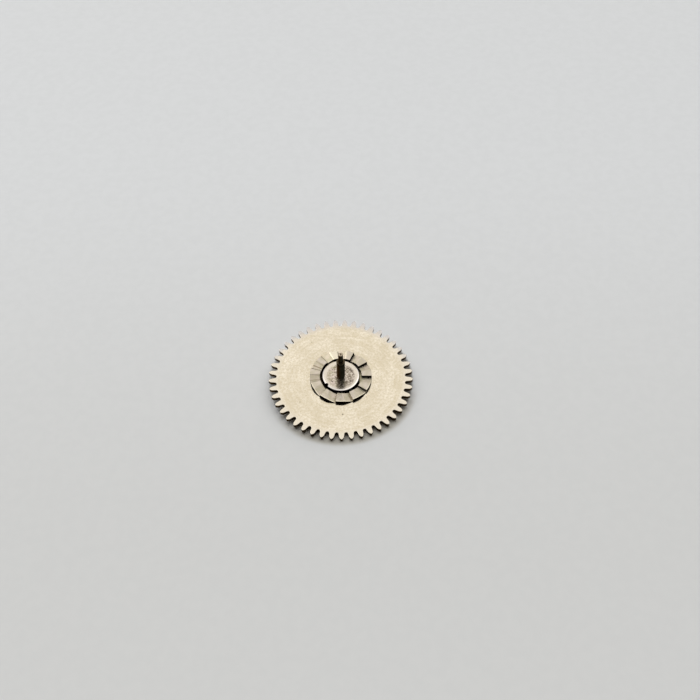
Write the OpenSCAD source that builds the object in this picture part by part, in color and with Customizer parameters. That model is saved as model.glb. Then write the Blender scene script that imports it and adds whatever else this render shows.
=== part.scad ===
// Pawl winding wheel of a watch's self-winding work, in millimetres.
// A toothed wheel carries a crown ratchet. Both turn on a pivoted arbor between its flange and a collar.
// +Z runs up the arbor towards the long shaft, and the origin is the tip of the lower pivot.

/* [Toothed wheel] */
// Number of teeth on the rim
wheel_teeth = 45; // [40:1:50]
// Module: the pitch diameter divided by the number of teeth
tooth_module = 0.16; // [0.14:0.005:0.18]
// Height of a tooth above the pitch circle
addendum = 0.21; // [0.17:0.01:0.22]
// Depth of a tooth gap below the pitch circle
dedendum = 0.21; // [0.19:0.01:0.24]
// Share of the pitch that the tooth fills, on the pitch circle
tooth_share = 0.5; // [0.46:0.01:0.52]
// Radius of the round bottom of a tooth gap
root_radius = 0.1; // [0.08:0.005:0.11]
// Thickness of the wheel plate
wheel_thickness = 0.21; // [0.15:0.01:0.3]
// Angle of one tooth, counted from +X towards +Y
first_tooth_angle = -89.1; // [-180:0.1:180]

/* [Crown ratchet] */
// Number of saw teeth on the crown ratchet
ratchet_teeth = 11; // [9:1:13]
// Outside diameter of the crown ratchet
ratchet_outer_d = 3.26; // [3.1:0.02:3.5]
// Inside diameter of the toothed ring
ratchet_inner_d = 2.2; // [2.1:0.02:2.3]
// Height of the lands above the wheel's face
ratchet_height = 0.19; // [0.18:0.01:0.24]
// Height of a tooth's step at the outside edge
step_outer = 0.15; // [0.12:0.01:0.16]
// Height of a tooth's step at the inside edge
step_inner = 0.12; // [0.1:0.01:0.14]
// Slope of a tooth's ramp, in degrees
ramp_slope = 17; // [16:0.5:22]
// Angle of one step, counted from +X towards +Y
first_step_angle = -1.3; // [-180:0.1:180]
// Depth of the recess floor below the wheel's face
recess_depth = 0.04; // [0:0.01:0.06]
// Diameter of the shank that is riveted in the plate
shank_d = 2.5; // [2.3:0.05:2.8]
// Height of the riveted edge under the plate
rivet_height = 0.03; // [0.02:0.01:0.05]
// Width by which the riveted edge is spread over the plate
rivet_spread = 0.09; // [0.05:0.01:0.12]

/* [Collar] */
// Diameter of the retaining collar
collar_d = 1.92; // [1.7:0.02:1.96]
// Height of the collar's face above the lands of the ratchet
collar_rise = 0.06; // [0:0.01:0.1]
// Width of the bevel on the collar's rim
bevel_width = 0.06; // [0.03:0.01:0.08]
// Depth of the bevel on the collar's rim
bevel_depth = 0.045; // [0.03:0.005:0.08]
// Diameter of the notch in the collar's rim
notch_d = 0.13; // [0.08:0.01:0.2]
// Angle of the notch, counted from +X towards +Y
notch_angle = 219.4; // [0:0.1:360]

/* [Arbor] */
// Diameter of the shaft above the collar
shaft_d = 0.45; // [0.4:0.01:0.5]
// Height of the shaft's shoulder above the wheel's face
shoulder_height = 1.48; // [1.2:0.02:1.8]
// Width of the small bevel on the shoulder
shoulder_bevel = 0.02; // [0.01:0.005:0.03]
// Diameter of both pivots
pivot_d = 0.26; // [0.2:0.01:0.3]
// Length of the upper pivot
upper_pivot_length = 0.64; // [0.4:0.02:0.8]
// Length of the lower pivot
lower_pivot_length = 0.26; // [0.2:0.02:0.5]
// Radius of the round edge at a pivot's end
pivot_round = 0.06; // [0.03:0.01:0.08]
// Diameter of the journal that the wheel turns on
journal_d = 0.72; // [0.6:0.02:1]
// Diameter of the flange under the wheel
flange_d = 1.6; // [1.3:0.05:1.9]
// Thickness of the flange
flange_thickness = 0.08; // [0.06:0.01:0.15]

/* [Running fit] */
// Radial clearance between the journal and the crown ratchet
radial_clearance = 0.02; // [0.01:0.005:0.03]
// End play on each side of the wheel
end_play = 0.02; // [0.01:0.005:0.03]

/* [Hidden] */

// Heights from the tip of the lower pivot
flange_z = lower_pivot_length;
ratchet_z = flange_z + flange_thickness + end_play;
plate_z = ratchet_z + rivet_height;
face_z = plate_z + wheel_thickness;
recess_z = face_z - recess_depth;
collar_z = recess_z + end_play;
lands_z = face_z + ratchet_height;
collar_top_z = lands_z + collar_rise;
shoulder_z = face_z + shoulder_height;
tip_z = shoulder_z + upper_pivot_length;

// Radii of the turned pieces
pivot_r = pivot_d / 2;
shaft_r = shaft_d / 2;
journal_r = journal_d / 2;
flange_r = flange_d / 2;
collar_r = collar_d / 2;
shank_r = shank_d / 2;
ring_outer_r = ratchet_outer_d / 2;
ring_inner_r = ratchet_inner_d / 2;
rivet_bevel = 0.015;
flange_bevel = 0.015;

// Tooth form: radial flanks up to the pitch circle, then two arcs that meet in a point
pitch_r = wheel_teeth * tooth_module / 2;
root_r = pitch_r - dedendum;
tooth_pitch = 360 / wheel_teeth;
half_tooth_angle = tooth_pitch * tooth_share / 2;
half_tooth = pitch_r * sin(half_tooth_angle);
arch_base = pitch_r * cos(half_tooth_angle);
arch_height = pitch_r + addendum - arch_base;
arch_r = (pow(half_tooth, 2) + pow(arch_height, 2)) / (2 * half_tooth);
arch_steps = 6;
root_steps = 5;
root_sweep = 80;

// Saw tooth form: each gap is one straight cut that runs out along a radius and deepens outwards
step_pitch = 360 / ratchet_teeth;
cut_tilt = atan((step_outer - step_inner) / (ring_outer_r - ring_inner_r));
cut_axis_z = lands_z - step_inner + tan(cut_tilt) * ring_inner_r;
cut_start = ring_inner_r * 0.8;
cut_length = ring_outer_r * 1.2 - cut_start;
cut_height = 2 * step_outer;

round_fn = 96;
small_fn = 48;
round_steps = 4;

// A point beside a radius: its distance across and along, and the angle of the radius
function beside(across, along, angle) = [
    along * cos(angle) - across * sin(angle),
    along * sin(angle) + across * cos(angle)
];

// Half of the round bottom of a gap, on the side that side names: 1 towards +Y from +X, or -1
function gap_half(side, angle) = [
    for (i = [0:root_steps])
        let (step = side > 0 ? i : root_steps - i)
        let (turn = root_sweep * step / root_steps)
        beside(side * root_radius * sin(turn), root_r + root_radius * (1 - cos(turn)), angle)
];

// Distance from the tooth's middle to its arch, at a height above the arch's base
function arch_across(height) = half_tooth - arch_r + sqrt(pow(arch_r, 2) - pow(height, 2));

// The two arches of a tooth, up one side and down the other
function tooth_arches(angle) = [
    for (i = [-arch_steps:arch_steps])
        let (height = arch_height * (1 - abs(i) / arch_steps))
        let (side = i < 0 ? -1 : 1)
        beside(i == 0 ? 0 : side * arch_across(height), arch_base + height, angle)
];

function rim_outline() = [
    for (i = [0:wheel_teeth - 1])
        let (angle = first_tooth_angle + i * tooth_pitch)
        each concat(
            gap_half(1, angle - tooth_pitch / 2),
            tooth_arches(angle),
            gap_half(-1, angle + tooth_pitch / 2)
        )
];

// The rounded edge of a pivot's end, from the pivot's side to its end face
function pivot_edge(end_z, way) = [
    for (i = [0:round_steps])
        let (turn = 90 * i / round_steps)
        [
            pivot_r - pivot_round * (1 - cos(turn)),
            end_z - way * pivot_round * (1 - sin(turn))
        ]
];

function reversed(points) = [for (i = [len(points) - 1:-1:0]) points[i]];

// Flat plate with the cut rim and a plain bore for the ratchet's shank
module winding_wheel() {
    color("#e3d2aa")
    translate([0, 0, plate_z])
    difference() {
        linear_extrude(height = wheel_thickness)
            polygon(rim_outline());
        translate([0, 0, -wheel_thickness])
            cylinder(h = 3 * wheel_thickness, r = shank_r, $fn = round_fn);
    }
}

// Turned blank: toothed ring on the wheel's face, recess for the collar, shank and riveted edge
module ratchet_blank() {
    bore_r = journal_r + radial_clearance;
    rivet_r = shank_r + rivet_spread;
    rotate_extrude($fn = round_fn)
        polygon([
            [bore_r, ratchet_z],
            [rivet_r - rivet_bevel, ratchet_z],
            [rivet_r, ratchet_z + rivet_bevel],
            [rivet_r, plate_z],
            [shank_r, plate_z],
            [shank_r, face_z],
            [ring_outer_r, face_z],
            [ring_outer_r, lands_z],
            [ring_inner_r, lands_z],
            [ring_inner_r, recess_z],
            [bore_r, recess_z]
        ]);
}

// One gap of the saw teeth: an upright step on the radius +X, and the ramp that falls towards it
module ratchet_cut() {
    translate([0, 0, cut_axis_z])
    rotate([0, cut_tilt, 0])
    translate([cut_start, 0, 0])
    rotate([90, 0, 90])
    linear_extrude(height = cut_length)
        polygon([[0, 0], [0, cut_height], [-cut_height / tan(ramp_slope), cut_height]]);
}

module crown_ratchet() {
    color("#b4ae9f")
    difference() {
        ratchet_blank();
        for (i = [0:ratchet_teeth - 1])
            rotate([0, 0, first_step_angle + i * step_pitch])
                ratchet_cut();
    }
}

// Pressed disc with a bevelled rim and one notch
module retaining_collar() {
    color("#cfc8ba")
    difference() {
        rotate_extrude($fn = round_fn)
            polygon([
                [shaft_r, collar_z],
                [collar_r, collar_z],
                [collar_r, collar_top_z - bevel_depth],
                [collar_r - bevel_width, collar_top_z],
                [shaft_r, collar_top_z]
            ]);
        rotate([0, 0, notch_angle])
            translate([collar_r, 0, recess_z])
                cylinder(h = collar_top_z - recess_z + end_play, d = notch_d, $fn = small_fn);
    }
}

// One turned piece: lower pivot, flange, journal, shaft, shoulder and upper pivot
module arbor() {
    color("#2d2823")
    rotate_extrude($fn = small_fn)
        polygon(concat(
            [[0, 0]],
            reversed(pivot_edge(0, -1)),
            [
                [pivot_r, flange_z],
                [flange_r - flange_bevel, flange_z],
                [flange_r, flange_z + flange_bevel],
                [flange_r, flange_z + flange_thickness],
                [journal_r, flange_z + flange_thickness],
                [journal_r, collar_z],
                [shaft_r, collar_z],
                [shaft_r, shoulder_z - shoulder_bevel],
                [shaft_r - shoulder_bevel, shoulder_z],
                [pivot_r, shoulder_z]
            ],
            pivot_edge(tip_z, 1),
            [[0, tip_z]]
        ));
}

winding_wheel();
crown_ratchet();
retaining_collar();
arbor();
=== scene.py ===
from functools import partial
from math import asin, atan, atan2, cos, degrees, hypot, pi, radians, sin, sqrt, tan

import bmesh
import bpy
from mathutils import Matrix, Vector


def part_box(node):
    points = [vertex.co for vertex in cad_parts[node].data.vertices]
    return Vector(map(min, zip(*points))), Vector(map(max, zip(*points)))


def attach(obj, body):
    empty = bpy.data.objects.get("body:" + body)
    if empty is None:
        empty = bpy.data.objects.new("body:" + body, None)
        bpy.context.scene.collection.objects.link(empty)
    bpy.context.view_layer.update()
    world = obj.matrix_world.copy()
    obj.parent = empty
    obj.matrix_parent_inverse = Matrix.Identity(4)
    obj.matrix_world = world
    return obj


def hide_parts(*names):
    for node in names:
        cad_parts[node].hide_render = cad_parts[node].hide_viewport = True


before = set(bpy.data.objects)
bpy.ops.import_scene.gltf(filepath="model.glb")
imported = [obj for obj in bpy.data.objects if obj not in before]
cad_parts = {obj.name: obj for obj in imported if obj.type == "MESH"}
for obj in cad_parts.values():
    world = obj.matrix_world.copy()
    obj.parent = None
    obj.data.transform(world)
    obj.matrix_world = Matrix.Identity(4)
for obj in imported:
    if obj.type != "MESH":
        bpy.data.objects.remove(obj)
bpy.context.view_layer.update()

MM = 0.001


# Sizes in millimetres and degrees. The frame gives the heights that end a CAD node.
def heights(node):
    """Lowest and highest point of a CAD node, in millimetres."""
    return [round(corner.z / MM, 4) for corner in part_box(node)]


PLATE_Z, FACE_Z = heights("winding_wheel")
RATCHET_Z, LANDS_Z = heights("crown_ratchet")
COLLAR_Z, COLLAR_TOP_Z = heights("retaining_collar")
TIP_Z = heights("arbor")[1]

# Toothed wheel
WHEEL_TEETH = 45
TOOTH_MODULE = 0.16
ADDENDUM = 0.21
DEDENDUM = 0.21
TOOTH_SHARE = 0.5
ROOT_RADIUS = 0.1
ROOT_SWEEP = 80
TIP_RADIUS = 0.035
FIRST_TOOTH = -89.1
TOOTH_PITCH = 360 / WHEEL_TEETH
PITCH_R = WHEEL_TEETH * TOOTH_MODULE / 2
ROOT_R = PITCH_R - DEDENDUM
# The plate is meshed as an outer band with the teeth, and a plain web inside this radius
WEB_R = ROOT_R - 0.15

# Crown ratchet
RATCHET_TEETH = 11
RING_OUTER_R = 1.63
RING_INNER_R = 1.1
STEP_OUTER = 0.15
STEP_INNER = 0.12
RAMP_SLOPE = 17
FIRST_STEP = -1.3
RECESS_DEPTH = 0.04
RECESS_Z = FACE_Z - RECESS_DEPTH
# The ring is sunk a little in the wheel's face, so that no two faces coincide
SEAT_DEPTH = 0.02
SEAT_Z = FACE_Z - SEAT_DEPTH
SHANK_R = 1.25
RIVET_SPREAD = 0.09
RIVET_R = SHANK_R + RIVET_SPREAD
RIVET_EASE = 0.018
BORE_R = 0.38
STEP_PITCH = 360 / RATCHET_TEETH
# How much a cut deepens outwards along a radius, and how much a ramp rises across it
CUT_FALL = (STEP_OUTER - STEP_INNER) / (RING_OUTER_R - RING_INNER_R)
RAMP_RISE = tan(radians(RAMP_SLOPE)) / cos(atan(CUT_FALL))

# Collar
COLLAR_R = 0.96
BEVEL_WIDTH = 0.06
BEVEL_DEPTH = 0.045
NOTCH_R = 0.065
NOTCH_ANGLE = 219.4
COLLAR_EASE = 0.008

# Arbor
SHAFT_R = 0.225
PIVOT_R = 0.13
PIVOT_EASE = 0.06
SHOULDER_HEIGHT = 1.48
SHOULDER_Z = FACE_Z + SHOULDER_HEIGHT
SHOULDER_EASE = 0.022
JOURNAL_R = 0.36
FLANGE_R = 0.8
FLANGE_Z = (0.26, 0.34)
FLANGE_EASE = 0.015
ARBOR_EASE = 0.008

# Edges left by deburring
EDGE_BREAK = 0.012
EDGE_SEGMENTS = 2
EDGE_ANGLE = 35
# Of the faces at a corner, only the largest gives the shading
LARGEST_FACE = 100
# Points closer than this are one point
WELD = 0.0005

# Surfaces made of polygons, each a list of points in millimetres


def polar(radius, angle, height):
    """A point at a radius, at an angle in degrees from +X towards +Y, at a height."""
    return Vector((radius * cos(radians(angle)), radius * sin(radians(angle)), height))


def plain_mesh(name, polygons):
    """One mesh of loose polygons: repeated corners dropped, seams welded and faces turned outwards."""
    build = bmesh.new()
    for polygon in polygons:
        corners = [p for i, p in enumerate(polygon) if (p - polygon[i - 1]).length > WELD]
        if len(corners) > 2:
            build.faces.new([build.verts.new(p) for p in corners])
    bmesh.ops.remove_doubles(build, verts=build.verts, dist=WELD)
    bmesh.ops.recalc_face_normals(build, faces=build.faces)
    for face in build.faces:
        face.smooth = True
    mesh = bpy.data.meshes.new(name)
    build.to_mesh(mesh)
    build.free()
    return mesh


def new_piece(name, polygons, finish=None):
    """Puts loose polygons in the scene as one object."""
    piece = bpy.data.objects.new(name, plain_mesh(name, polygons))
    bpy.context.scene.collection.objects.link(piece)
    if finish:
        piece.data.materials.append(finish)
    return piece


def make_plain(piece):
    """Replaces a piece's modifiers by the mesh that they give."""
    shown = piece.evaluated_get(bpy.context.evaluated_depsgraph_get())
    mesh = bpy.data.meshes.new_from_object(shown)
    piece.modifiers.clear()
    rough = piece.data
    piece.data = mesh
    mesh.name = piece.name
    bpy.data.meshes.remove(rough)


def turn_outwards(piece):
    """Points every face of a closed mesh outwards."""
    build = bmesh.new()
    build.from_mesh(piece.data)
    bmesh.ops.recalc_face_normals(build, faces=build.faces)
    build.to_mesh(piece.data)
    build.free()


def break_edges(piece):
    """Breaks the sharp edges, as deburring leaves them."""
    edges = piece.modifiers.new("broken edges", "BEVEL")
    edges.width = EDGE_BREAK
    edges.segments = EDGE_SEGMENTS
    edges.limit_method = "ANGLE"
    edges.angle_limit = radians(EDGE_ANGLE)
    edges.use_clamp_overlap = False


def even_shading(piece):
    """Keeps flat faces flat in shading, next to their rounded or broken edges."""
    even = piece.modifiers.new("even shading", "WEIGHTED_NORMAL")
    even.weight = LARGEST_FACE
    make_plain(piece)


def finish_piece(piece, body, node):
    """Scales a piece to metres and enters it in the frame's lists."""
    piece.data.transform(Matrix.Scale(MM, 4))
    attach(piece, body)
    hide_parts(node)


def linear(code):
    """An sRGB hex colour as the linear colour that a shader takes."""
    channels = [int(code[i : i + 2], 16) / 255 for i in (1, 3, 5)]
    return (*[c / 12.92 if c <= 0.04045 else ((c + 0.055) / 1.055) ** 2.4 for c in channels], 1.0)


def add_node(tree, kind, inputs=None, **settings):
    """Adds a node. Each input, named or numbered, takes a value, a hex colour or another node's output."""
    node = tree.nodes.new(kind)
    for name, value in settings.items():
        setattr(node, name, value)
    for socket, value in (inputs or {}).items():
        if isinstance(value, bpy.types.NodeSocket):
            tree.links.new(value, node.inputs[socket])
        else:
            node.inputs[socket].default_value = linear(value) if isinstance(value, str) else value
    return node


# Repeats round the axis, in Geometry Nodes


def repeat_tree():
    """Repeats the sector it is given round the Z axis, welds the copies and sets their finish."""
    tree = bpy.data.node_groups.new("repeat_round_axis", "GeometryNodeTree")
    add = partial(add_node, tree)
    sockets = (
        ("Sector", "NodeSocketGeometry"),
        ("Count", "NodeSocketInt"),
        ("First angle", "NodeSocketFloat"),
        ("Weld distance", "NodeSocketFloat"),
        ("Finish", "NodeSocketMaterial"),
    )
    for name, kind in sockets:
        tree.interface.new_socket(name, in_out="INPUT", socket_type=kind)
    tree.interface.new_socket("Piece", in_out="OUTPUT", socket_type="NodeSocketGeometry")
    given = add("NodeGroupInput").outputs
    points = add("GeometryNodePoints", {"Count": given["Count"]})
    index = add("GeometryNodeInputIndex")
    pitch = add("ShaderNodeMath", {0: 2 * pi, 1: given["Count"]}, operation="DIVIDE")
    turn = {0: index.outputs[0], 1: pitch.outputs[0], 2: given["First angle"]}
    turn = add("ShaderNodeMath", turn, operation="MULTIPLY_ADD")
    euler = add("ShaderNodeCombineXYZ", {"Z": turn.outputs[0]})
    rotation = add("FunctionNodeEulerToRotation", {0: euler.outputs[0]}).outputs[0]
    copies = {"Points": points.outputs[0], "Instance": given["Sector"], "Rotation": rotation}
    copies = add("GeometryNodeInstanceOnPoints", copies)
    solid = add("GeometryNodeRealizeInstances", {0: copies.outputs[0]})
    welded = {"Geometry": solid.outputs[0], "Distance": given["Weld distance"]}
    welded = add("GeometryNodeMergeByDistance", welded)
    finished = {"Geometry": welded.outputs[0], "Material": given["Finish"]}
    finished = add("GeometryNodeSetMaterial", finished)
    add("NodeGroupOutput", {0: finished.outputs[0]})
    return tree


def repeat_round(piece, tree, count, first_angle, finish):
    """Turns one sector into the whole piece."""
    values = {"Count": count, "First angle": radians(first_angle), "Weld distance": WELD, "Finish": finish}
    repeat = piece.modifiers.new("repeat", "NODES")
    repeat.node_group = tree
    for item in tree.interface.items_tree:
        if item.in_out == "INPUT" and item.name in values:
            repeat[item.identifier] = values[item.name]
    make_plain(piece)
    turn_outwards(piece)


# Toothed wheel


def tooth_side():
    """Half a tooth on +X, on its +Y side: tip, arch and flank, down to the middle of the gap."""
    half_angle = radians(TOOTH_PITCH * TOOTH_SHARE / 2)
    half_tooth = PITCH_R * sin(half_angle)
    arch_base = PITCH_R * cos(half_angle)
    arch_height = PITCH_R + ADDENDUM - arch_base
    arch_r = (half_tooth**2 + arch_height**2) / (2 * half_tooth)
    arch_centre = half_tooth - arch_r
    tip_centre = sqrt((arch_r - TIP_RADIUS) ** 2 - arch_centre**2)
    arch_end = atan2(tip_centre, -arch_centre)
    points = []
    tip_steps, arch_steps, root_steps = 4, 9, 8
    for i in range(tip_steps):
        turn = pi / 2 + (arch_end - pi / 2) * i / tip_steps
        points.append((arch_base + tip_centre + TIP_RADIUS * sin(turn), TIP_RADIUS * cos(turn)))
    for i in range(arch_steps + 1):
        turn = arch_end * (1 - i / arch_steps)
        points.append((arch_base + arch_r * sin(turn), arch_centre + arch_r * cos(turn)))
    gap_middle = radians(TOOTH_PITCH / 2)
    for i in range(root_steps + 1):
        turn = radians(ROOT_SWEEP) * (1 - i / root_steps)
        along = ROOT_R + ROOT_RADIUS * (1 - cos(turn))
        across = -ROOT_RADIUS * sin(turn)
        x = along * cos(gap_middle) - across * sin(gap_middle)
        y = along * sin(gap_middle) + across * cos(gap_middle)
        points.append((x, y))
    return points


def wheel_sector():
    """One tooth with its share of the plate, down to the bore."""
    side = tooth_side()
    outline = [(x, -y) for x, y in reversed(side)] + side[1:]
    web_steps = 4
    spokes = [TOOTH_PITCH * (i / web_steps - 0.5) for i in range(web_steps + 1)]
    polygons = []
    for z in (PLATE_Z, FACE_Z):
        rim = [Vector((x, y, z)) for x, y in outline]
        polygons.append(rim + [polar(WEB_R, angle, z) for angle in reversed(spokes)])
        for a, b in zip(spokes, spokes[1:]):
            web = [(WEB_R, a), (WEB_R, b), (SHANK_R, b), (SHANK_R, a)]
            polygons.append([polar(radius, angle, z) for radius, angle in web])
    for (ax, ay), (bx, by) in zip(outline, outline[1:]):
        flank = [(ax, ay, PLATE_Z), (bx, by, PLATE_Z), (bx, by, FACE_Z), (ax, ay, FACE_Z)]
        polygons.append([Vector(corner) for corner in flank])
    for a, b in zip(spokes, spokes[1:]):
        bore = [(a, PLATE_Z), (b, PLATE_Z), (b, FACE_Z), (a, FACE_Z)]
        polygons.append([polar(SHANK_R, angle, z) for angle, z in bore])
    return polygons


# Crown ratchet


def ramp_height(radius, back):
    """Height of a ramp at a radius, at an angle counted back from the step that it falls to."""
    along, across = radius * cos(radians(back)), radius * sin(radians(back))
    return LANDS_Z - STEP_INNER - CUT_FALL * (along - RING_INNER_R) + RAMP_RISE * across


def ramp_angle(radius):
    """Angle that a ramp spans at a radius, from the edge of its land down to the step."""
    reach = (STEP_INNER - CUT_FALL * RING_INNER_R) / (radius * hypot(RAMP_RISE, CUT_FALL))
    return degrees(atan2(CUT_FALL, RAMP_RISE) + asin(reach))


def crown_columns(radius):
    """Angle and height of the crown's top at one radius, from one step over the land and down the ramp."""
    land_steps, ramp_steps = 5, 9
    span = ramp_angle(radius)
    land = STEP_PITCH - span
    columns = [(land * i / land_steps, LANDS_Z) for i in range(land_steps)]
    for i in range(ramp_steps + 1):
        back = span * (1 - i / ramp_steps)
        columns.append((STEP_PITCH - back, ramp_height(radius, back) if i else LANDS_Z))
    return columns


def ratchet_sector():
    """One saw tooth with its share of the ring, the shank, the riveted lip and the bore."""
    outer, inner = crown_columns(RING_OUTER_R), crown_columns(RING_INNER_R)
    lip = []
    for angle in (0, 30, 60, 90):
        r = RIVET_R - RIVET_EASE * (1 - cos(radians(angle)))
        z = RATCHET_Z + RIVET_EASE * (1 - sin(radians(angle)))
        lip.append((r, z))
    outside = [(RING_OUTER_R, SEAT_Z), (SHANK_R, SEAT_Z), (SHANK_R, PLATE_Z), (RIVET_R, PLATE_Z)] + lip
    inside = [(BORE_R, RATCHET_Z), (BORE_R, RECESS_Z), (RING_INNER_R, RECESS_Z)]
    rails = [[polar(RING_OUTER_R, a, z) for a, z in outer]]
    rails += [[polar(r, a, z) for a, _ in outer] for r, z in outside]
    rails += [[polar(r, a, z) for a, _ in inner] for r, z in inside]
    rails += [[polar(RING_INNER_R, a, z) for a, z in inner]]
    step_foot = {r: polar(r, 0, ramp_height(r, 0)) for r in (RING_OUTER_R, RING_INNER_R)}
    polygons = []
    for rail, following in zip(rails, rails[1:] + rails[:1]):
        for i in range(len(rail) - 1):
            polygons.append([rail[i], following[i], following[i + 1], rail[i + 1]])
            if i == 0 and rail is rails[0]:
                polygons[-1].insert(1, step_foot[RING_OUTER_R])
            if i == 0 and rail is rails[-2]:
                polygons[-1].insert(1, step_foot[RING_INNER_R])
    polygons.append([step_foot[RING_INNER_R], step_foot[RING_OUTER_R], rails[0][0], rails[-1][0]])
    return polygons


# Turned pieces


def eased(corners, steps):
    """An outline of (radius, height, ease): each corner with an ease becomes an arc of that radius."""
    points = []
    for i, (r, z, ease) in enumerate(corners):
        corner = Vector((r, z))
        if not ease:
            points.append(corner)
            continue
        before = (Vector(corners[i - 1][:2]) - corner).normalized()
        after = (Vector(corners[i + 1][:2]) - corner).normalized()
        half = before.angle(after) / 2
        middle = (before + after).normalized()
        centre = corner + middle * ease / sin(half)
        way = 1 if before.cross(after) < 0 else -1
        for k in range(steps + 1):
            turn = Matrix.Rotation(way * (pi - 2 * half) * (k / steps - 0.5), 2)
            points.append(centre - turn @ middle * ease)
    return points


def turned(outline, angles, limit=None):
    """Polygons of a turned solid. Where its rim is cut away, limit(angle) is its largest radius."""
    polygons = []
    for (ra, za), (rb, zb) in zip(outline, outline[1:]):
        for a, b in zip(angles, angles[1:]):
            corners = [(ra, a, za), (ra, b, za), (rb, b, zb), (rb, a, zb)]
            if limit:
                corners = [(min(radius, limit(angle)), angle, z) for radius, angle, z in corners]
            polygons.append([polar(*corner) for corner in corners])
    return polygons


def notch_limit(angle):
    """Largest radius of the collar at an angle, with the notch cut in its rim."""
    off = radians(abs(angle - NOTCH_ANGLE))
    reach = NOTCH_R**2 - (COLLAR_R * sin(off)) ** 2
    return COLLAR_R * cos(off) - sqrt(reach) if reach > 0 and off < pi / 2 else COLLAR_R


def collar_polygons():
    """The pressed disc: a bevelled, eased rim with one notch."""
    corners = [
        (SHAFT_R, COLLAR_Z, 0),
        (COLLAR_R, COLLAR_Z, COLLAR_EASE),
        (COLLAR_R, COLLAR_TOP_Z - BEVEL_DEPTH, COLLAR_EASE),
        (COLLAR_R - BEVEL_WIDTH, COLLAR_TOP_Z, COLLAR_EASE),
        (SHAFT_R, COLLAR_TOP_Z, 0),
    ]
    outline = eased(corners, steps=3)
    # Fine steps across the notch, closest at its sides, and even ones over the rest
    notch_half = degrees(asin(NOTCH_R / COLLAR_R))
    half_steps, round_steps = 12, 180
    turns = [pi / 2 * k / half_steps for k in range(-half_steps, half_steps + 1)]
    fine = [NOTCH_ANGLE + notch_half * sin(turn) for turn in turns]
    start, span = NOTCH_ANGLE + notch_half, 360 - 2 * notch_half
    angles = fine + [start + span * (k + 1) / round_steps for k in range(round_steps)]
    return turned(outline + outline[:1], angles, notch_limit)


def arbor_polygons():
    """The arbor, turned from one bar: lower pivot, flange, journal, shaft, shoulder and upper pivot."""
    corners = [
        (0, 0, 0),
        (PIVOT_R, 0, PIVOT_EASE),
        (PIVOT_R, FLANGE_Z[0], ARBOR_EASE),
        (FLANGE_R, FLANGE_Z[0], FLANGE_EASE),
        (FLANGE_R, FLANGE_Z[1], ARBOR_EASE),
        (JOURNAL_R, FLANGE_Z[1], ARBOR_EASE),
        (JOURNAL_R, COLLAR_Z, ARBOR_EASE),
        (SHAFT_R, COLLAR_Z, 0),
        (SHAFT_R, SHOULDER_Z, SHOULDER_EASE),
        (PIVOT_R, SHOULDER_Z, ARBOR_EASE),
        (PIVOT_R, TIP_Z, PIVOT_EASE),
        (0, TIP_Z, 0),
    ]
    round_steps = 120
    return turned(eased(corners, steps=5), [360 * k / round_steps for k in range(round_steps + 1)])


# Finishes

# Map Range: input 0 runs from input 1 to input 2, and the output from input 3 to input 4, or from 0 to 1
SMOOTH = {"interpolation_type": "SMOOTHSTEP"}
# Mix: input 0 is the share of the second colour, inputs 6 and 7 are the colours, and output 2 the mix
COLOURS = {"data_type": "RGBA"}
MIXED = 2
# Share of a wall's colour, from how flat a face lies: all of it below 0.2 and none above 0.6
STEEP = {1: 0.2, 2: 0.6, 3: 1.0, 4: 0.0}
# Depth of the grain, in millimetres
RELIEF = 0.004


def per_size(size):
    """Scale of a pattern whose features are that many millimetres wide."""
    return 1 / (size * MM)


def new_finish(name, **constants):
    """A material, its tree, its shader and what its patterns start from, such as place and radius."""
    finish = bpy.data.materials.new(name)
    finish.use_nodes = True
    tree = finish.node_tree
    shader = tree.nodes["Principled BSDF"]
    for socket, value in constants.items():
        given = linear(value) if isinstance(value, str) else value
        shader.inputs[socket.replace("_", " ")].default_value = given
    add = partial(add_node, tree)
    surface = add("ShaderNodeTexCoord").outputs
    place = surface["Object"]
    axes = add("ShaderNodeSeparateXYZ", {0: place}).outputs
    plan = add("ShaderNodeVectorMath", {0: place, 1: (1, 1, 0)}, operation="MULTIPLY").outputs[0]
    facing = add("ShaderNodeSeparateXYZ", {0: surface["Normal"]}).outputs
    # plan is the place without its height, and flat is 1 on a level face and 0 on an upright one
    known = {
        "place": place,
        "x": axes["X"],
        "y": axes["Y"],
        "z": axes["Z"],
        "plan": plan,
        "radius": add("ShaderNodeVectorMath", {0: plan}, operation="LENGTH").outputs["Value"],
        "outward": add("ShaderNodeVectorMath", {0: plan}, operation="NORMALIZE").outputs[0],
        "facing_right": facing["X"],
        "flat": add("ShaderNodeMath", {0: facing["Z"]}, operation="ABSOLUTE").outputs[0],
    }
    return finish, tree, shader, known


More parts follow.
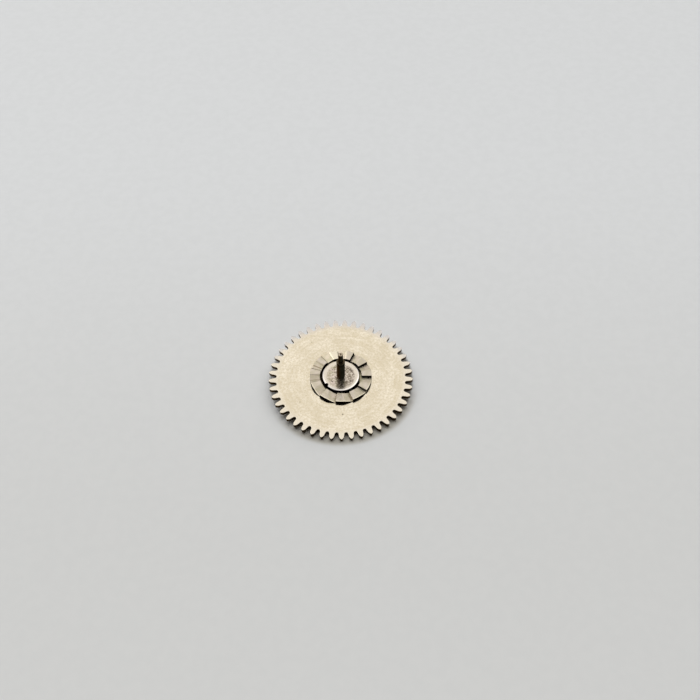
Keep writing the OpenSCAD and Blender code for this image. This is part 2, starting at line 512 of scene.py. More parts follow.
def gilt_brass():
    """Gilt brass, lapped and finely grained: a pale warm satin face, paler teeth, teeth painted greyer at
    the back as painted glare, and brown rough flanks darkened as painted shade.
    """
    finish, tree, shader, at = new_finish("gilt_brass_fine_grained", Metallic=1.0, Specular_Tint="#dcdcdc")
    add = partial(add_node, tree)
    # Widths in millimetres. The grain and turning marks are coarser than real ones, so that they show
    cloud_width, mark_width, grain_width, speck_spacing = 0.8, 0.14, 0.12, 0.7
    clouds = {"Vector": at["place"], "Scale": per_size(cloud_width), "Detail": 5.0, "Roughness": 0.7}
    clouds = add("ShaderNodeTexNoise", clouds)
    # Faint turning marks under the lapping: they change fast along a radius and slowly round the axis
    small_circle = Vector((0.25, 0.25, 0)) * MM
    rings = add("ShaderNodeCombineXYZ", {"Z": at["radius"]})
    rings = {0: at["outward"], 1: small_circle, 2: rings.outputs[0]}
    rings = add("ShaderNodeVectorMath", rings, operation="MULTIPLY_ADD")
    marks = {"Vector": rings.outputs[0], "Scale": per_size(mark_width), "Detail": 2.0}
    marks = add("ShaderNodeTexNoise", marks)
    marked = {0: marks.outputs["Fac"], 1: 0.6, 2: clouds.outputs["Fac"]}
    marked = add("ShaderNodeMath", marked, operation="MULTIPLY_ADD")
    cloudy = add("ShaderNodeMapRange", {0: marked.outputs[0], 1: 0.6, 2: 1.0}, **SMOOTH)
    face = add("ShaderNodeMix", {0: cloudy.outputs[0], 6: "#dfd2b8", 7: "#efe4cf"}, **COLOURS)
    grain = {"Vector": at["place"], "Scale": per_size(grain_width), "Detail": 3.0}
    grain = add("ShaderNodeTexNoise", grain)
    grainy = {0: grain.outputs["Fac"], 1: 0.35, 2: 0.65, 3: 0.0, 4: 0.6}
    grainy = add("ShaderNodeMapRange", grainy, **SMOOTH)
    face = add("ShaderNodeMix", {0: grainy.outputs[0], 6: face.outputs[MIXED], 7: "#d5c6a8"}, **COLOURS)
    teeth = add("ShaderNodeMapRange", {0: at["radius"], 1: 3.15 * MM, 2: 3.55 * MM}, **SMOOTH)
    face = add("ShaderNodeMix", {0: teeth.outputs[0], 6: face.outputs[MIXED], 7: "#e6dbc7"}, **COLOURS)
    # Painted glare: the teeth at the back are painted greyer and their tips grey, for the bright light
    # behind them washing them out
    back_glare = add("ShaderNodeMapRange", {0: at["y"], 1: 1.8 * MM, 2: 3.3 * MM, 3: 0.0, 4: 0.8}, **SMOOTH)
    back_glare = add("ShaderNodeMath", {0: back_glare.outputs[0], 1: teeth.outputs[0]}, operation="MULTIPLY")
    face = add("ShaderNodeMix", {0: back_glare.outputs[0], 6: face.outputs[MIXED], 7: "#d2c9bf"}, **COLOURS)
    tip_glare = {0: at["radius"], 1: 3.48 * MM, 2: 3.66 * MM, 3: 0.0, 4: 0.8}
    tip_glare = add("ShaderNodeMapRange", tip_glare, **SMOOTH)
    backward = add("ShaderNodeMapRange", {0: at["y"], 1: 0.6 * MM, 2: 1.8 * MM}, **SMOOTH)
    tip_glare = add("ShaderNodeMath", {0: tip_glare.outputs[0], 1: backward.outputs[0]}, operation="MULTIPLY")
    face = add("ShaderNodeMix", {0: tip_glare.outputs[0], 6: face.outputs[MIXED], 7: "#cfcac5"}, **COLOURS)
    # Small dark specks
    cells = add("ShaderNodeTexVoronoi", {"Vector": at["place"], "Scale": per_size(speck_spacing)})
    speck = {0: cells.outputs["Distance"], 1: 0.03, 2: 0.07, 3: 0.45, 4: 0.0}
    speck = add("ShaderNodeMapRange", speck, **SMOOTH)
    face = add("ShaderNodeMix", {0: speck.outputs[0], 6: face.outputs[MIXED], 7: "#8d7d62"}, **COLOURS)
    # One deeper pit, dark inside, near the front
    pit_place = Vector((0.11, -2.29, FACE_Z)) * MM
    pit = add("ShaderNodeVectorMath", {0: at["place"], 1: pit_place}, operation="DISTANCE")
    pit = {0: pit.outputs["Value"], 1: 0.02 * MM, 2: 0.06 * MM, 3: 0.8, 4: 0.0}
    pit = add("ShaderNodeMapRange", pit, **SMOOTH)
    face = add("ShaderNodeMix", {0: pit.outputs[0], 6: face.outputs[MIXED], 7: "#57493a"}, **COLOURS)
    # Painted shade: the upright flanks are painted dark brown, for the shade they face
    wall = add("ShaderNodeMapRange", {0: at["flat"], **STEEP}, **SMOOTH)
    colour = add("ShaderNodeMix", {0: wall.outputs[0], 6: face.outputs[MIXED], 7: "#453319"}, **COLOURS)
    tree.links.new(colour.outputs[MIXED], shader.inputs["Base Color"])
    satin = {0: clouds.outputs["Fac"], 1: 0.3, 2: 0.7, 3: 0.11, 4: 0.17}
    satin = add("ShaderNodeMapRange", satin, **SMOOTH)
    tree.links.new(satin.outputs[0], shader.inputs["Roughness"])
    bump = {"Height": grain.outputs["Fac"], "Strength": 0.1, "Distance": RELIEF * MM}
    bump = add("ShaderNodeBump", bump)
    tree.links.new(bump.outputs[0], shader.inputs["Normal"])
    return finish


def ratchet_steel():
    """Hardened steel, milled on top: pinkish lands, duller lined ramps, dark walls, a near-black recess,
    painted shade at the steps and painted highlights.
    """
    finish, tree, shader, at = new_finish("ratchet_steel_milled", Metallic=1.0, Specular_Tint="#9a9a9a")
    add = partial(add_node, tree)
    # Widths in millimetres. The cutter lines and grain are coarser than real ones, so that they show
    cloud_width, line_width, grain_width = 0.25, 0.09, 0.05
    clouds = {"Vector": at["place"], "Scale": per_size(cloud_width), "Detail": 3.0}
    clouds = add("ShaderNodeTexNoise", clouds)
    cloudy = add("ShaderNodeMapRange", {0: clouds.outputs["Fac"], 1: 0.3, 2: 0.7}, **SMOOTH)
    land = add("ShaderNodeMix", {0: cloudy.outputs[0], 6: "#bab09a", 7: "#c8bcad"}, **COLOURS)
    ramp = add("ShaderNodeMix", {0: cloudy.outputs[0], 6: "#b3ab93", 7: "#c4b7a6"}, **COLOURS)
    # The cutter ran out along a radius, so its lines do too: noise on a circle in the middle of the ring
    ring_middle_r = 1.36
    circle = {0: at["outward"], "Scale": ring_middle_r * MM}
    circle = add("ShaderNodeVectorMath", circle, operation="SCALE")
    lines = {"Vector": circle.outputs[0], "Scale": per_size(line_width), "Detail": 1.0}
    lines = add("ShaderNodeTexNoise", lines)
    lined = {0: lines.outputs["Fac"], 1: 0.5, 2: 0.6, 3: 0.0, 4: 0.9}
    lined = add("ShaderNodeMapRange", lined, **SMOOTH)
    # The cutter was worn when it cut the teeth at the back left, and left them rougher
    leftmost = add("ShaderNodeMapRange", {0: at["x"], 1: -1.0 * MM, 2: 0.0, 3: 1.0, 4: 0.2}, **SMOOTH)
    backward = {0: at["y"], 1: -0.7 * MM, 2: 0.1 * MM, 3: 0.15, 4: 1.0}
    backward = add("ShaderNodeMapRange", backward, **SMOOTH)
    torn = add("ShaderNodeMath", {0: leftmost.outputs[0], 1: backward.outputs[0]}, operation="MULTIPLY")
    lined = add("ShaderNodeMath", {0: lined.outputs[0], 1: torn.outputs[0]}, operation="MULTIPLY")
    ramp = add("ShaderNodeMix", {0: lined.outputs[0], 6: ramp.outputs[MIXED], 7: "#8a7c64"}, **COLOURS)
    level = add("ShaderNodeMapRange", {0: at["flat"], 1: 0.965, 2: 0.99}, **SMOOTH)
    top = {0: level.outputs[0], 6: ramp.outputs[MIXED], 7: land.outputs[MIXED]}
    top = add("ShaderNodeMix", top, **COLOURS)
    # Dark lines where each cut starts and ends: shares of the pitch, counted from a step over its land
    angle = add("ShaderNodeMath", {0: at["y"], 1: at["x"]}, operation="ARCTAN2")
    turns = add("ShaderNodeMath", {0: angle.outputs[0], 1: -radians(FIRST_STEP)}, operation="ADD")
    share = add("ShaderNodeMath", {0: turns.outputs[0], 1: 1 / radians(STEP_PITCH)}, operation="MULTIPLY")
    share = add("ShaderNodeMath", {0: share.outputs[0]}, operation="FRACT")
    inner_land, outer_land = [1 - ramp_angle(r) / STEP_PITCH for r in (RING_INNER_R, RING_OUTER_R)]
    cut = {0: at["radius"], 1: RING_INNER_R * MM, 2: RING_OUTER_R * MM, 3: inner_land, 4: outer_land}
    cut = add("ShaderNodeMapRange", cut)
    past = add("ShaderNodeMath", {0: share.outputs[0], 1: cut.outputs[0]}, operation="SUBTRACT")
    past = add("ShaderNodeMath", {0: past.outputs[0]}, operation="ABSOLUTE")
    begun = add("ShaderNodeMapRange", {0: past.outputs[0], 1: 0.01, 2: 0.035, 3: 0.5, 4: 0.0}, **SMOOTH)
    crest = add("ShaderNodeMapRange", {0: share.outputs[0], 1: 0.03, 2: 0.07, 3: 1.0, 4: 0.0}, **SMOOTH)
    edge = add("ShaderNodeMath", {0: begun.outputs[0], 1: crest.outputs[0]}, operation="MAXIMUM")
    edge = add("ShaderNodeMath", {0: edge.outputs[0], 1: torn.outputs[0]}, operation="MULTIPLY")
    top = add("ShaderNodeMix", {0: edge.outputs[0], 6: top.outputs[MIXED], 7: "#625643"}, **COLOURS)
    # Painted shade: black in the feet of the ramps on the right, and just past the steps further back, for
    # the step walls' shadow and their reflection in the ramps
    step_shade = add("ShaderNodeMapRange", {0: share.outputs[0], 1: 0.965, 2: 0.99}, **SMOOTH)
    right = add("ShaderNodeMath", {0: at["y"], 1: 0.25, 2: at["x"]}, operation="MULTIPLY_ADD")
    right = add("ShaderNodeMapRange", {0: right.outputs[0], 1: 0.1 * MM, 2: 0.8 * MM}, **SMOOTH)
    over = {0: share.outputs[0], 1: 0.025, 2: 0.045, 3: 1.0, 4: 0.0}
    over = add("ShaderNodeMapRange", over, **SMOOTH)
    behind = add("ShaderNodeMapRange", {0: at["y"], 1: -0.5 * MM, 2: -0.2 * MM}, **SMOOTH)
    over = add("ShaderNodeMath", {0: over.outputs[0], 1: behind.outputs[0]}, operation="MULTIPLY")
    step_shade = add("ShaderNodeMath", {0: step_shade.outputs[0], 1: over.outputs[0]}, operation="MAXIMUM")
    step_shade = add("ShaderNodeMath", {0: step_shade.outputs[0], 1: right.outputs[0]}, operation="MULTIPLY")
    top = add("ShaderNodeMix", {0: step_shade.outputs[0], 6: top.outputs[MIXED], 7: "#1a130c"}, **COLOURS)
    # Painted highlights: a pale line on the ring's outer edge at the front, and a pale patch on the lands
    # at the back
    painted_highlight = {0: at["radius"], 1: 1.575 * MM, 2: 1.6 * MM, 3: 0.0, 4: 0.8}
    painted_highlight = add("ShaderNodeMapRange", painted_highlight, **SMOOTH)
    front = {0: at["y"], 1: -0.7 * MM, 2: -0.2 * MM, 3: 1.0, 4: 0.0}
    front = add("ShaderNodeMapRange", front, **SMOOTH)
    painted_highlight = add("ShaderNodeMath", {0: painted_highlight.outputs[0], 1: front.outputs[0]}, operation="MULTIPLY")
    bright_place = polar(1.4, 103, LANDS_Z) * MM
    bright = add("ShaderNodeVectorMath", {0: at["place"], 1: bright_place}, operation="DISTANCE")
    bright = {0: bright.outputs["Value"], 1: 0.35 * MM, 2: 0.8 * MM, 3: 0.7, 4: 0.0}
    bright = add("ShaderNodeMapRange", bright, **SMOOTH)
    bright = add("ShaderNodeMath", {0: bright.outputs[0], 1: level.outputs[0]}, operation="MULTIPLY")
    painted_highlight = add("ShaderNodeMath", {0: painted_highlight.outputs[0], 1: bright.outputs[0]}, operation="MAXIMUM")
    top = add("ShaderNodeMix", {0: painted_highlight.outputs[0], 6: top.outputs[MIXED], 7: "#e9dfc6"}, **COLOURS)
    wall = add("ShaderNodeMapRange", {0: at["flat"], **STEEP}, **SMOOTH)
    # The steps at the front are clean and bright, between the ring's black inner and outer walls
    inside = add("ShaderNodeMapRange", {0: at["radius"], 1: 1.105 * MM, 2: 1.13 * MM}, **SMOOTH)
    outside = {0: at["radius"], 1: 1.595 * MM, 2: 1.615 * MM, 3: 1.0, 4: 0.0}
    outside = add("ShaderNodeMapRange", outside, **SMOOTH)
    clean = add("ShaderNodeMath", {0: inside.outputs[0], 1: outside.outputs[0]}, operation="MULTIPLY")
    foremost = {0: at["y"], 1: -1.0 * MM, 2: -0.9 * MM, 3: 1.0, 4: 0.0}
    foremost = add("ShaderNodeMapRange", foremost, **SMOOTH)
    clean = add("ShaderNodeMath", {0: clean.outputs[0], 1: foremost.outputs[0]}, operation="MULTIPLY")
    walls = add("ShaderNodeMix", {0: clean.outputs[0], 6: "#0e0a06", 7: "#b0a490"}, **COLOURS)
    colour = {0: wall.outputs[0], 6: top.outputs[MIXED], 7: walls.outputs[MIXED]}
    colour = add("ShaderNodeMix", colour, **COLOURS)
    # The shank and its riveted edge, below the wheel's face, are plain turned steel
    shank = add("ShaderNodeMath", {0: at["z"], 1: SEAT_Z * MM}, operation="LESS_THAN")
    colour = add("ShaderNodeMix", {0: shank.outputs[0], 6: colour.outputs[MIXED], 7: "#a59c8c"}, **COLOURS)
    # The recess floor is near black, and pale at its right edge
    paler_right = add("ShaderNodeMapRange", {0: at["x"], 1: 0.94 * MM, 2: 1.06 * MM}, **SMOOTH)
    recess_floor = add("ShaderNodeMix", {0: paler_right.outputs[0], 6: "#18120b", 7: "#a59c7f"}, **COLOURS)
    lowest, highest = (RECESS_Z - 0.01) * MM, (RECESS_Z + 0.01) * MM
    above = add("ShaderNodeMath", {0: at["z"], 1: lowest}, operation="GREATER_THAN")
    below = add("ShaderNodeMath", {0: at["z"], 1: highest}, operation="LESS_THAN")
    recess = add("ShaderNodeMath", {0: above.outputs[0], 1: below.outputs[0]}, operation="MULTIPLY")
    colour = {0: recess.outputs[0], 6: colour.outputs[MIXED], 7: recess_floor.outputs[MIXED]}
    colour = add("ShaderNodeMix", colour, **COLOURS)
    tree.links.new(colour.outputs[MIXED], shader.inputs["Base Color"])
    satin = add("ShaderNodeMapRange", {0: level.outputs[0], 1: 0.0, 2: 1.0, 3: 0.55, 4: 0.3})
    tree.links.new(satin.outputs[0], shader.inputs["Roughness"])
    grain = {"Vector": at["place"], "Scale": per_size(grain_width), "Detail": 2.0}
    grain = add("ShaderNodeTexNoise", grain)
    bump = {"Height": grain.outputs["Fac"], "Strength": 0.2, "Distance": RELIEF * MM}
    bump = add("ShaderNodeBump", bump)
    tree.links.new(bump.outputs[0], shader.inputs["Normal"])
    return finish


def collar_steel():
    """Turned steel: a mottled satin face with small dark pits and painted glints, stained on the right, a
    polished bevel painted near white as a highlight, and sides painted near black as shade.
    """
    finish, tree, shader, at = new_finish("collar_steel_turned", Metallic=1.0, Specular_Tint="#9a9a9a")
    add = partial(add_node, tree)
    # Widths in millimetres. The pits are coarser than real ones, so that they show
    cloud_width, pit_width = 0.25, 0.075
    clouds = {"Vector": at["place"], "Scale": per_size(cloud_width), "Detail": 3.0}
    clouds = add("ShaderNodeTexNoise", clouds)
    cloudy = add("ShaderNodeMapRange", {0: clouds.outputs["Fac"], 1: 0.35, 2: 0.65}, **SMOOTH)
    face = add("ShaderNodeMix", {0: cloudy.outputs[0], 6: "#b3a88e", 7: "#cfbeb0"}, **COLOURS)
    stained = {0: at["x"], 1: 0.1 * MM, 2: 0.35 * MM, 3: 0.0, 4: 0.6}
    stained = add("ShaderNodeMapRange", stained, **SMOOTH)
    face = add("ShaderNodeMix", {0: stained.outputs[0], 6: face.outputs[MIXED], 7: "#9c9084"}, **COLOURS)
    # Clean and bright towards the rim, in a band that is wider at the back; it is narrower at the front, so
    # the darker face there stands in for the arbor's reflection and shade
    reach = add("ShaderNodeMath", {0: at["y"], 1: 0.1, 2: at["radius"]}, operation="MULTIPLY_ADD")
    rim = add("ShaderNodeMapRange", {0: reach.outputs[0], 1: 0.67 * MM, 2: 0.82 * MM}, **SMOOTH)
    inner = add("ShaderNodeMath", {0: 1.0, 1: rim.outputs[0]}, operation="SUBTRACT")
    # Dark pits, with fewer of them on the left, and small painted glints between them
    specks = {"Vector": at["place"], "Scale": per_size(pit_width), "Detail": 2.0}
    specks = add("ShaderNodeTexNoise", specks)
    pitted = {0: specks.outputs["Fac"], 1: 0.54, 2: 0.62, 3: 0.0, 4: 0.9}
    pitted = add("ShaderNodeMapRange", pitted, **SMOOTH)
    pits = add("ShaderNodeMath", {0: pitted.outputs[0], 1: inner.outputs[0]}, operation="MULTIPLY")
    fewer = {0: at["x"], 1: -0.6 * MM, 2: -0.45 * MM, 3: 0.3, 4: 1.0}
    fewer = add("ShaderNodeMapRange", fewer, **SMOOTH)
    pits = add("ShaderNodeMath", {0: pits.outputs[0], 1: fewer.outputs[0]}, operation="MULTIPLY")
    painted_glints = {0: specks.outputs["Fac"], 1: 0.36, 2: 0.46, 3: 0.7, 4: 0.0}
    painted_glints = add("ShaderNodeMapRange", painted_glints, **SMOOTH)
    face = add("ShaderNodeMix", {0: painted_glints.outputs[0], 6: face.outputs[MIXED], 7: "#e6dccb"}, **COLOURS)
    face = add("ShaderNodeMix", {0: pits.outputs[0], 6: face.outputs[MIXED], 7: "#62574a"}, **COLOURS)
    face = add("ShaderNodeMix", {0: rim.outputs[0], 6: face.outputs[MIXED], 7: "#ddd2c1"}, **COLOURS)
    # Painted highlight: the polished bevel is painted near white
    bevel = add("ShaderNodeMapRange", {0: at["flat"], 1: 0.85, 2: 0.95, 3: 1.0, 4: 0.0}, **SMOOTH)
    face = add("ShaderNodeMix", {0: bevel.outputs[0], 6: face.outputs[MIXED], 7: "#fbf2e8"}, **COLOURS)
    # Near black round the notch
    notch = polar(COLLAR_R, NOTCH_ANGLE, 0) * MM
    near = add("ShaderNodeVectorMath", {0: at["plan"], 1: notch}, operation="DISTANCE")
    notch_dark_start, notch_dark_end = (NOTCH_R + 0.02) * MM, (NOTCH_R + 0.045) * MM
    notch_dark = {0: near.outputs["Value"], 1: notch_dark_start, 2: notch_dark_end, 3: 1.0, 4: 0.0}
    notch_dark = add("ShaderNodeMapRange", notch_dark, **SMOOTH)
    face = add("ShaderNodeMix", {0: notch_dark.outputs[0], 6: face.outputs[MIXED], 7: "#170c08"}, **COLOURS)
    # Painted shade: the upright sides are painted near black
    wall = add("ShaderNodeMapRange", {0: at["flat"], **STEEP}, **SMOOTH)
    colour = add("ShaderNodeMix", {0: wall.outputs[0], 6: face.outputs[MIXED], 7: "#1d150e"}, **COLOURS)
    tree.links.new(colour.outputs[MIXED], shader.inputs["Base Color"])
    satin = add("ShaderNodeMapRange", {0: bevel.outputs[0], 1: 0.0, 2: 1.0, 3: 0.2, 4: 0.14})
    tree.links.new(satin.outputs[0], shader.inputs["Roughness"])
    bump = {"Height": specks.outputs["Fac"], "Strength": 0.1, "Distance": RELIEF * MM}
    bump = add("ShaderNodeBump", bump)
    tree.links.new(bump.outputs[0], shader.inputs["Normal"])
    return finish


def arbor_steel():
    """Hardened steel, burnished nearly black, with a painted reflection, brown on the left and cooler on
    the right, and a painted highlight that makes its ends paler.
    """
    constants = {"Metallic": 1.0, "Roughness": 0.2, "Specular_Tint": "#b4b4b4"}
    finish, tree, shader, at = new_finish("arbor_steel_burnished", **constants)
    add = partial(add_node, tree)
    cloud_width = 0.2
    clouds = {"Vector": at["place"], "Scale": per_size(cloud_width), "Detail": 2.0}
    clouds = add("ShaderNodeTexNoise", clouds)
    # Painted reflection: brown on the left, cooler on the right
    side = {0: clouds.outputs["Fac"], 1: 0.5, 2: at["facing_right"]}
    side = add("ShaderNodeMath", side, operation="MULTIPLY_ADD")
    side_reflection = add("ShaderNodeMapRange", {0: side.outputs[0], 1: -0.5, 2: 0.5}, **SMOOTH)
    dark = add("ShaderNodeMix", {0: side_reflection.outputs[0], 6: "#3b2b1a", 7: "#30322c"}, **COLOURS)
    # Painted highlight: level faces are painted paler than the sides
    level = add("ShaderNodeMapRange", {0: at["flat"], 1: 0.4, 2: 0.9}, **SMOOTH)
    # The shoulder is darker than the tip of the upper pivot
    high = {0: at["z"], 1: (SHOULDER_Z + 0.1) * MM, 2: (TIP_Z - 0.1) * MM}
    high = add("ShaderNodeMapRange", high, **SMOOTH)
    pale = add("ShaderNodeMix", {0: high.outputs[0], 6: "#4a4030", 7: "#a39580"}, **COLOURS)
    # A turning centre left in the pivot's end
    centre = {0: at["radius"], 1: 0.02 * MM, 2: 0.06 * MM, 3: 1.0, 4: 0.0}
    centre = add("ShaderNodeMapRange", centre, **SMOOTH)
    pale = add("ShaderNodeMix", {0: centre.outputs[0], 6: pale.outputs[MIXED], 7: "#4f4435"}, **COLOURS)
    colour = {0: level.outputs[0], 6: dark.outputs[MIXED], 7: pale.outputs[MIXED]}
    colour = add("ShaderNodeMix", colour, **COLOURS)
    tree.links.new(colour.outputs[MIXED], shader.inputs["Base Color"])
    return finish


# Floor, light and camera

# The part lies on its lower pivot and on one point of its rim, so the floor rises towards that point
PIVOT_FLAT_R = PIVOT_R - PIVOT_EASE
FLOOR_SLOPE = PLATE_Z / (PITCH_R + ADDENDUM - PIVOT_FLAT_R)
REST_ANGLE = 280
BOARD_HALF = 600
# Painted shade on the board under the teeth: each spot's place, spread and strength
UNDER_SHADE_SPOTS = ((3.5, 0.6, 2.9, 0.85), (-3.4, 0.3, 2.4, 0.6))

# Azimuth and elevation of the wide panel, and of the middle of the glow that lights all that is matt
PANEL_AT = (145, 46)
GLOW_AT = (90, 45)
# The panel is a disk that turns to the part
PANEL_RADIUS = 53
PANEL_DISTANCE = 120
PANEL_RADIANCE = 0.35
# The board's own tone, which the camera sees beyond its edge
BACKGROUND_TONE = 0.66


def make_floor():
    """A matt pale board under the part."""
    rise = FLOOR_SLOPE * polar(1, REST_ANGLE, 0)
    half = BOARD_HALF
    corners = [(-half, -half), (half, -half), (half, half), (-half, half)]
    board = [Vector((x, y, rise.x * x + rise.y * y - FLOOR_SLOPE * PIVOT_FLAT_R)) for x, y in corners]
    finish, tree, shader, at = new_finish("matt_pale_board", Roughness=0.9, Specular_IOR_Level=0.1)
    add = partial(add_node, tree)
    # Painted light: the board is a little lighter towards the back, for the light falling off towards the
    # front
    painted_falloff = add("ShaderNodeMapRange", {0: at["y"], 1: -12 * MM, 2: 20 * MM}, **SMOOTH)
    tone = add("ShaderNodeMix", {0: painted_falloff.outputs[0], 6: "#d4d4d2", 7: "#dcdddd"}, **COLOURS)
    fibre_width = 0.5
    fibre = {"Vector": at["place"], "Scale": per_size(fibre_width), "Detail": 3.0}
    fibre = add("ShaderNodeTexNoise", fibre)
    faint = add("ShaderNodeMapRange", {0: fibre.outputs["Fac"], 1: 0.3, 2: 0.7, 3: 0.0, 4: 0.12}, **SMOOTH)
    tone = add("ShaderNodeMix", {0: faint.outputs[0], 6: tone.outputs[MIXED], 7: "#c6c7c6"}, **COLOURS)
    # Painted shade on the board under the teeth on both sides, most of it on the right
    middle = Vector((0, 0.33, 0)) * MM
    under = add("ShaderNodeVectorMath", {0: at["place"], 1: middle}, operation="DISTANCE")
    under = {0: under.outputs["Value"], 1: 3.71 * MM, 2: 3.89 * MM, 3: 1.0, 4: 0.0}
    under = add("ShaderNodeMapRange", under, **SMOOTH)
    for x, y, spread, strength in UNDER_SHADE_SPOTS:
        spot = {0: at["place"], 1: Vector((x, y, 0)) * MM}
        spot = add("ShaderNodeVectorMath", spot, operation="DISTANCE")
        spot = {0: spot.outputs["Value"], 1: 0.5 * spread * MM, 2: spread * MM, 3: strength, 4: 0.0}
        spot = add("ShaderNodeMapRange", spot, **SMOOTH)
        spot = add("ShaderNodeMath", {0: spot.outputs[0], 1: under.outputs[0]}, operation="MULTIPLY")
        tone = add("ShaderNodeMix", {0: spot.outputs[0], 6: tone.outputs[MIXED], 7: "#453f34"}, **COLOURS)
    # A thin band of warm painted shade lies where the rim touches the board, at the front
    contact_shade = {0: at["radius"], 1: 3.85 * MM, 2: 4.2 * MM, 3: 0.58, 4: 0.0}
    contact_shade = add("ShaderNodeMapRange", contact_shade, **SMOOTH)
    ahead = add("ShaderNodeMath", {0: at["x"], 1: -0.25, 2: at["y"]}, operation="MULTIPLY_ADD")
    ahead = {0: ahead.outputs[0], 1: -3.2 * MM, 2: -0.8 * MM, 3: 1.0, 4: 0.0}
    ahead = add("ShaderNodeMapRange", ahead, **SMOOTH)
    contact_shade = add("ShaderNodeMath", {0: contact_shade.outputs[0], 1: ahead.outputs[0]}, operation="MULTIPLY")
    tone = add("ShaderNodeMix", {0: contact_shade.outputs[0], 6: tone.outputs[MIXED], 7: "#a59d88"}, **COLOURS)
    tree.links.new(tone.outputs[MIXED], shader.inputs["Base Color"])
    # From below the board isn't there, so that the part's underside shows
    below = add("ShaderNodeNewGeometry").outputs["Backfacing"]
    clear = add("ShaderNodeBsdfTransparent")
    surface = add("ShaderNodeMixShader", {0: below, 1: shader.outputs[0], 2: clear.outputs[0]})
    tree.links.new(surface.outputs[0], tree.nodes["Material Output"].inputs["Surface"])
    floor = new_piece("floor", [board], finish)
    floor.data.transform(Matrix.Scale(MM, 4))


def aim(azimuth, elevation):
    """The direction at an angle in degrees from +X towards +Y, and at a height angle."""
    return polar(cos(radians(elevation)), azimuth, sin(radians(elevation)))


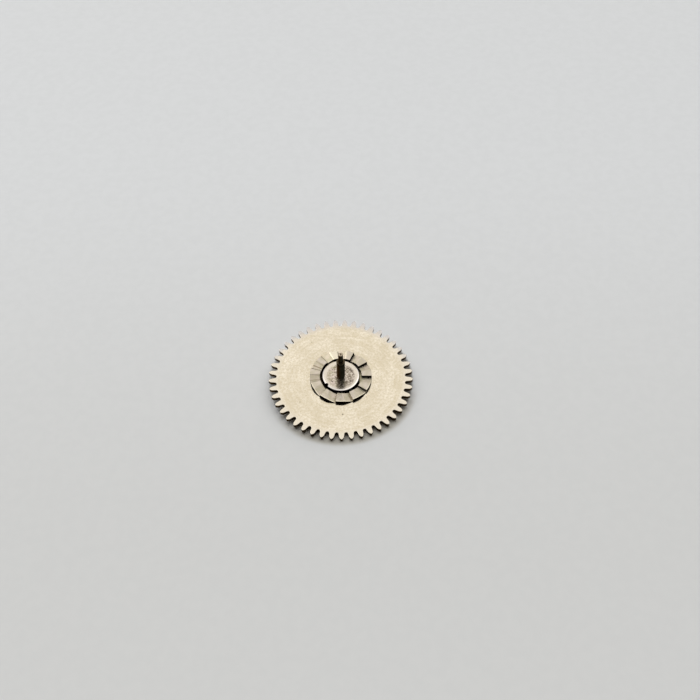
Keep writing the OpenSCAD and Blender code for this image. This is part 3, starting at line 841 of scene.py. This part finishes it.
def make_light():
    """Soft light from the back, one wide panel at the back left, and a pale room for metal to mirror."""
    world = bpy.data.worlds.new("pale_room")
    bpy.context.scene.world = world
    world.use_nodes = True
    tree = world.node_tree
    add = partial(add_node, tree)
    toward_panel = aim(*PANEL_AT)
    way = add("ShaderNodeTexCoord").outputs["Generated"]
    part = add("ShaderNodeSeparateXYZ", {0: way}).outputs
    # The room that metal mirrors: darker low down, at the front and overhead, brighter on the right
    top = add("ShaderNodeMapRange", {0: part["Y"], 1: -0.6, 2: 0.1, 3: 0.75, 4: 1.0}, **SMOOTH)
    room = add("ShaderNodeMapRange", {0: part["Z"], 1: 0.0, 2: 0.45, 3: 0.64, 4: top.outputs[0]}, **SMOOTH)
    ceiling = add("ShaderNodeMapRange", {0: part["Z"], 1: 0.86, 2: 0.98, 3: 1.0, 4: 0.7}, **SMOOTH)
    room = add("ShaderNodeMath", {0: room.outputs[0], 1: ceiling.outputs[0]}, operation="MULTIPLY")
    right = add("ShaderNodeMapRange", {0: part["X"], 1: 0.1, 2: 0.4, 3: 1.0, 4: 1.3}, **SMOOTH)
    room = add("ShaderNodeMath", {0: room.outputs[0], 1: right.outputs[0]}, operation="MULTIPLY")
    # Its window is where the panel is
    window = add("ShaderNodeVectorMath", {0: way, 1: toward_panel}, operation="DOT_PRODUCT")
    window = {0: window.outputs["Value"], 1: 0.88, 2: 0.96, 3: 0.0, 4: 1.5}
    window = add("ShaderNodeMapRange", window, **SMOOTH)
    room = add("ShaderNodeMath", {0: room.outputs[0], 1: window.outputs[0]}, operation="ADD")
    # Everything matt is lit from above the back
    glow = add("ShaderNodeVectorMath", {0: way, 1: aim(*GLOW_AT)}, operation="DOT_PRODUCT")
    glow = {0: glow.outputs["Value"], 1: 0.45, 2: 0.97, 3: 0.0, 4: 2.4}
    glow = add("ShaderNodeMapRange", glow, **SMOOTH)
    ray = add("ShaderNodeLightPath").outputs
    mirrored = {0: ray["Is Glossy Ray"], 1: ray["Is Transmission Ray"]}
    mirrored = add("ShaderNodeMath", mirrored, operation="MAXIMUM")
    strength = add("ShaderNodeMix", {0: mirrored.outputs[0], 2: glow.outputs[0], 3: room.outputs[0]})
    strength = {0: ray["Is Camera Ray"], 2: strength.outputs[0], 3: BACKGROUND_TONE}
    strength = add("ShaderNodeMix", strength)
    tree.links.new(strength.outputs[0], tree.nodes["Background"].inputs["Strength"])
    tree.nodes["Background"].inputs["Color"].default_value = (1, 1, 1, 1)
    radius = PANEL_RADIUS * MM
    area = pi * radius**2
    panel = bpy.data.lights.new("wide_panel", "AREA")
    panel.shape = "DISK"
    panel.size = 2 * radius
    panel.energy = PANEL_RADIANCE * pi * area
    panel_object = bpy.data.objects.new("wide_panel", panel)
    bpy.context.scene.collection.objects.link(panel_object)
    panel_object.location = toward_panel * PANEL_DISTANCE * MM
    panel_object.rotation_euler = toward_panel.to_track_quat("Z", "Y").to_euler()


# Camera, in pixels, millimetres and degrees, fitted to the photograph
PICTURE = 700
FOCAL_PIXELS = 1200
SENSOR = 36
VIEW_DISTANCE = 63.3
DEPRESSION = 54.4
ROLL = 0.05
FACE_CENTRE_PIXEL = (340.8, 377.6)
CLIP_END = 10


def make_camera():
    """The photograph's view: the middle of the wheel's face falls on its own pixel."""
    camera = bpy.data.objects.new("camera", bpy.data.cameras.new("camera"))
    bpy.context.scene.collection.objects.link(camera)
    bpy.context.scene.camera = camera
    camera.data.sensor_width = SENSOR
    camera.data.lens = SENSOR * FOCAL_PIXELS / PICTURE
    camera.data.clip_start = MM
    camera.data.clip_end = CLIP_END
    tilt = pi / 2 - radians(DEPRESSION)
    turn = Matrix.Rotation(tilt, 4, "X") @ Matrix.Rotation(radians(ROLL), 4, "Z")
    across, down = [(p - PICTURE / 2) / FOCAL_PIXELS * VIEW_DISTANCE for p in FACE_CENTRE_PIXEL]
    centre_seen = Vector((across, -down, -VIEW_DISTANCE))
    place = Vector((0, 0, FACE_Z)) - turn @ centre_seen
    camera.matrix_world = Matrix.Translation(place * MM) @ turn


bpy.context.scene.view_settings.view_transform = "Standard"
make_camera()
make_light()
make_floor()

repeat = repeat_tree()

wheel = new_piece("wheel_plate", wheel_sector())
repeat_round(wheel, repeat, WHEEL_TEETH, FIRST_TOOTH, gilt_brass())
break_edges(wheel)
even_shading(wheel)
finish_piece(wheel, "wheel", "winding_wheel")

ratchet = new_piece("ratchet_crown", ratchet_sector())
repeat_round(ratchet, repeat, RATCHET_TEETH, FIRST_STEP, ratchet_steel())
break_edges(ratchet)
even_shading(ratchet)
finish_piece(ratchet, "wheel", "crown_ratchet")

collar = new_piece("collar_disc", collar_polygons(), collar_steel())
even_shading(collar)
finish_piece(collar, "arbor", "retaining_collar")

arbor = new_piece("turned_arbor", arbor_polygons(), arbor_steel())
even_shading(arbor)
finish_piece(arbor, "arbor", "arbor")
